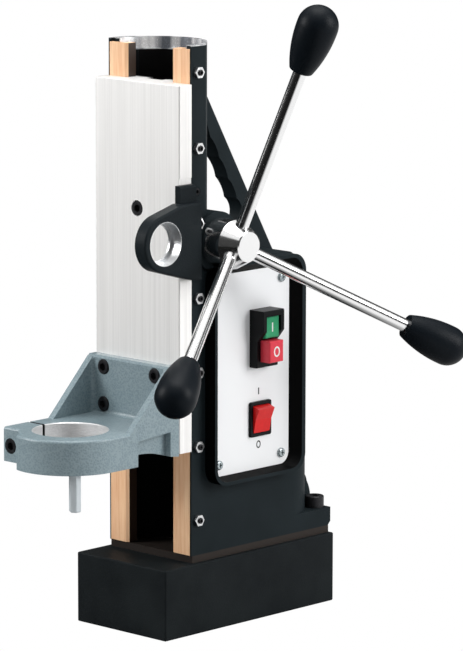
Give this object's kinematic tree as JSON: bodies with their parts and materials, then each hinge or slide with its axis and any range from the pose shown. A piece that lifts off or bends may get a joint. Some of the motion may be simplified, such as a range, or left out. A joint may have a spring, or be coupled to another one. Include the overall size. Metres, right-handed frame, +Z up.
{
  "type": "magnetic drill stand",
  "caption": "Electromagnet foot with an upright column, a rack-driven slide with a split drill holder collar, a spoked feed handle, a carrying grip and a switch panel.",
  "frame": {"origin": "centre of the magnet's bottom face", "axes": "+Z up the column, +X towards the control panel and the feed handle, -Y towards the drill holder"},
  "size_m": [0.186, 0.287, 0.4266],
  "materials": {
    "magnet_black": "satin black paint on steel",
    "spacer_black": "brownish black",
    "frame_paint": "fine textured anthracite paint on cast iron",
    "cast_black": "fine textured black paint",
    "bronze": "milled bronze",
    "slide_aluminium": "brushed along the column",
    "hammer_paint": "blue-grey hammer finish",
    "chrome": "polished",
    "knob_plastic": "fine matte",
    "panel_silver": "silver, satin",
    "screw_black": "blackened steel",
    "screw_zinc": "zinc plated",
    "steel": "ground steel",
    "switch_black": "matte",
    "green_plastic": "glossy",
    "red_plastic": "glossy",
    "rocker_red": "glossy",
    "copper": "enamelled copper winding",
    "resin": "cast resin"
  },
  "bodies": {
    "stand": {"bush_left": "bronze", "bush_right": "bronze", "cable_gland": "switch_black", "coil_potting": "resin", "drill_socket": "switch_black", "foot_screw_left": "screw_black", "foot_screw_right": "screw_black", "frame_casting": "frame_paint", "gib_nut_1": "screw_zinc", "gib_nut_2": "screw_zinc", "gib_nut_3": "screw_zinc", "gib_nut_4": "screw_zinc", "gib_nut_5": "screw_zinc", "gib_nut_6": "screw_zinc", "gib_nut_7": "screw_zinc", "gib_screw_1": "screw_zinc", "gib_screw_2": "screw_zinc", "gib_screw_3": "screw_zinc", "gib_screw_4": "screw_zinc", "gib_screw_5": "screw_zinc", "gib_screw_6": "screw_zinc", "gib_screw_7": "screw_zinc", "guide_strip_left": "bronze", "guide_strip_right": "bronze", "lock_screw": "screw_black", "magnet_coil": "copper", "magnet_housing": "magnet_black", "motor_switch_body": "switch_black", "panel_plate": "panel_silver", "panel_screw_1": "screw_zinc", "panel_screw_2": "screw_zinc", "panel_screw_3": "screw_zinc", "panel_screw_4": "screw_zinc", "rocker_housing": "switch_black", "spacer_plate": "spacer_black"},
    "slide": {"slide_plate": "slide_aluminium", "keeper_right": "steel", "keeper_left": "steel", "rack": "steel", "drill_holder": "hammer_paint", "clamp_screw": "screw_black", "stop_pin": "screw_zinc", "eye_bracket": "cast_black", "holder_screw_1": "screw_black", "holder_screw_2": "screw_black", "holder_screw_3": "screw_black", "holder_screw_4": "screw_black", "slide_screw_1": "screw_black", "slide_screw_2": "screw_black"},
    "handle": {"pinion_shaft": "steel", "handle_hub": "chrome", "knob_1": "knob_plastic", "knob_2": "knob_plastic", "knob_3": "knob_plastic", "spoke_1": "chrome", "spoke_2": "chrome", "spoke_3": "chrome"},
    "start_button": {"start_button": "green_plastic"},
    "stop_button": {"stop_button": "red_plastic"},
    "magnet_rocker": {"magnet_rocker": "rocker_red"}
  },
  "joints": [
    {"name": "slide_travel", "type": "slide", "parent": "stand", "child": "slide", "axis": [0, 0, 1], "range_m": [-0.068, 0.092]},
    {"name": "hub_turn", "type": "hinge", "parent": "stand", "child": "handle", "pos_m": [0, -0.032, 0.263], "axis": [1, 0, 0], "range_deg": [-528, 391]},
    {"name": "start_press", "type": "slide", "parent": "stand", "child": "start_button", "axis": [-1, 0, 0], "range_m": [0, 0.0025], "stiffness_N_per_m": 600},
    {"name": "stop_press", "type": "slide", "parent": "stand", "child": "stop_button", "axis": [-1, 0, 0], "range_m": [0, 0.0025], "stiffness_N_per_m": 600},
    {"name": "rocker_tilt", "type": "hinge", "parent": "stand", "child": "magnet_rocker", "pos_m": [0.041, 0.00835, 0.1385], "axis": [0, -1, 0], "range_deg": [0, 20]}
  ],
  "couplings": [
    {"joint": "hub_turn", "follows": "slide_travel", "rad_per_m": -100}
  ]
}
